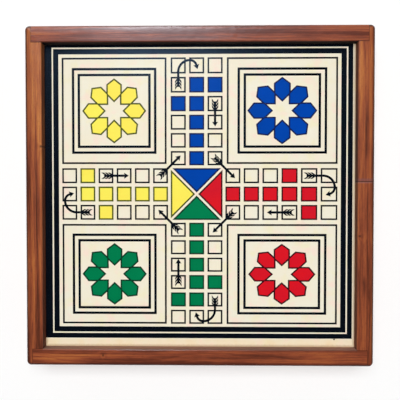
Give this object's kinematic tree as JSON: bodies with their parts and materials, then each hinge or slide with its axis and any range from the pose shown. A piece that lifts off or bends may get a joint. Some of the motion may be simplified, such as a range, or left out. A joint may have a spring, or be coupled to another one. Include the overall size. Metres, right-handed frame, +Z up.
{
  "type": "folding ludo board box",
  "caption": "Shallow hinged wooden box whose lid carries a ludo board let in below a raised hardwood frame, with a tray for counters and dice inside.",
  "frame": {"origin": "on the ground under the middle of the closed box", "axes": "+X right, +Y to the hinged back edge, +Z up out of the playing face"},
  "size_m": [0.406, 0.4057, 0.0564],
  "materials": {
    "hardwood": "reddish-brown hardwood under glossy lacquer, streaky grain",
    "plywood": "bare pale plywood",
    "cream_enamel": "cream enamel ground, semi-gloss",
    "black_ink": "blue-black screen ink, semi-gloss",
    "dark_ink": "dark screen ink seen through the coloured inks",
    "red_ink": "red screen ink, semi-gloss",
    "blue_ink": "blue screen ink, semi-gloss",
    "yellow_ink": "yellow screen ink, semi-gloss",
    "green_ink": "green screen ink, semi-gloss",
    "nail_steel": "dull steel nail heads",
    "brass": "worn satin brass"
  },
  "bodies": {
    "base": {"base_rail_left": "hardwood", "base_rail_right": "hardwood", "base_rail_back": "hardwood", "base_rail_front": "hardwood", "base_panel": "plywood", "base_corner_nails": "nail_steel", "hinge_left_base_leaf": "brass", "hinge_right_base_leaf": "brass", "hinge_left_pin": "brass", "hinge_right_pin": "brass", "hinge_base_screws": "brass", "catch_stud_left": "brass", "catch_stud_right": "brass"},
    "lid": {"lid_rail_left": "hardwood", "lid_rail_right_back": "hardwood", "lid_rail_right_front": "hardwood", "lid_rail_back": "hardwood", "lid_rail_front": "hardwood", "lid_panel": "plywood", "print_ground": "cream_enamel", "print_lines": "black_ink", "print_outlines": "dark_ink", "print_red": "red_ink", "print_blue": "blue_ink", "print_yellow": "yellow_ink", "print_green": "green_ink", "lid_corner_nails": "nail_steel", "hinge_left_lid_leaf": "brass", "hinge_right_lid_leaf": "brass", "hinge_lid_screws": "brass", "hook_pivot_screw_left": "brass", "hook_pivot_screw_right": "brass"},
    "hook_left": {"hook_left": "brass"},
    "hook_right": {"hook_right": "brass"}
  },
  "joints": [
    {"name": "lid_hinge", "type": "hinge", "parent": "base", "child": "lid", "pos_m": [0, 0.20125, 0.0282], "axis": [-1, 0, 0], "range_deg": [0, 180]},
    {"name": "hook_left_pivot", "type": "hinge", "parent": "lid", "child": "hook_left", "pos_m": [-0.11, -0.1985, 0.0394], "axis": [0, -1, 0], "range_deg": [-20, 90]},
    {"name": "hook_right_pivot", "type": "hinge", "parent": "lid", "child": "hook_right", "pos_m": [0.11, -0.1985, 0.0394], "axis": [0, 1, 0], "range_deg": [-20, 90]}
  ]
}
